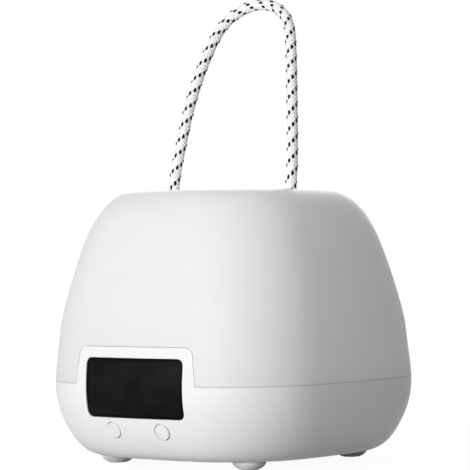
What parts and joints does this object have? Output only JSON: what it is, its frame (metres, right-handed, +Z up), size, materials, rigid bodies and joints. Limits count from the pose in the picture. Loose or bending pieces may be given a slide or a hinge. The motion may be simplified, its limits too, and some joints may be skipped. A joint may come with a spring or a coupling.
{
  "type": "night light clock",
  "caption": "Portable rounded-square night light with a dark clock display, push buttons on the front and a rope carrying loop.",
  "frame": {"origin": "on the table, under the middle of the body, at the feet's undersides", "axes": "+Z up, the clock's front faces -Y, +X to the right as seen from the front"},
  "size_m": [0.115, 0.1147, 0.1682],
  "materials": {
    "shade_plastic": "fine satin, milky and lightly translucent",
    "base_plastic": "fine satin moulded finish",
    "window": "gloss, dark tinted",
    "dark_plastic": "matt",
    "foot_rubber": "soft matt",
    "rope": "braided, white with black tracer strands",
    "steel": "plated",
    "bright_metal": "plated",
    "cell_wrap": "shrink wrap",
    "circuit_board": "solder mask",
    "lamp_board": "white solder mask",
    "lamp_chip": "phosphor",
    "wire": "insulation"
  },
  "bodies": {
    "lamp_body": {"shade": "shade_plastic", "base_housing": "base_plastic", "bottom_cover": "base_plastic", "bottom_screws": "steel", "foot_front_left": "foot_rubber", "foot_front_right": "foot_rubber", "foot_rear_left": "foot_rubber", "foot_rear_right": "foot_rubber", "display_window": "window", "display_module": "dark_plastic", "display_board": "circuit_board", "display_screws": "steel", "left_switch": "dark_plastic", "right_switch": "dark_plastic", "button_board": "circuit_board", "button_board_screws": "steel", "deck_plate": "base_plastic", "deck_screws": "steel", "led_board": "lamp_board", "led_chips": "lamp_chip", "led_board_screws": "steel", "main_board": "circuit_board", "board_chips": "dark_plastic", "board_screws": "steel", "buzzer": "dark_plastic", "usb_shell": "bright_metal", "usb_tongue": "dark_plastic", "battery_cell": "cell_wrap", "battery_cradle": "dark_plastic", "battery_leads": "wire", "led_leads": "wire", "rope_end_left": "rope", "rope_end_right": "rope"},
    "left_button": {"left_button": "base_plastic", "left_plunger": "dark_plastic"},
    "right_button": {"right_button": "base_plastic", "right_plunger": "dark_plastic"},
    "handle": {"handle_rope": "rope"}
  },
  "joints": [
    {"name": "left_button_press", "type": "slide", "parent": "lamp_body", "child": "left_button", "axis": [0, 0.9149, 0.4036], "range_m": [0, 0.0005], "stiffness_N_per_m": 800},
    {"name": "right_button_press", "type": "slide", "parent": "lamp_body", "child": "right_button", "axis": [0, 0.9149, 0.4036], "range_m": [0, 0.0005], "stiffness_N_per_m": 800},
    {"name": "handle_tip", "type": "hinge", "parent": "lamp_body", "child": "handle", "pos_m": [0, 0, 0.0997], "axis": [1, 0, 0], "range_deg": [-72, 95], "stiffness_Nm_per_rad": 0.02, "springref_deg": 0.52}
  ]
}
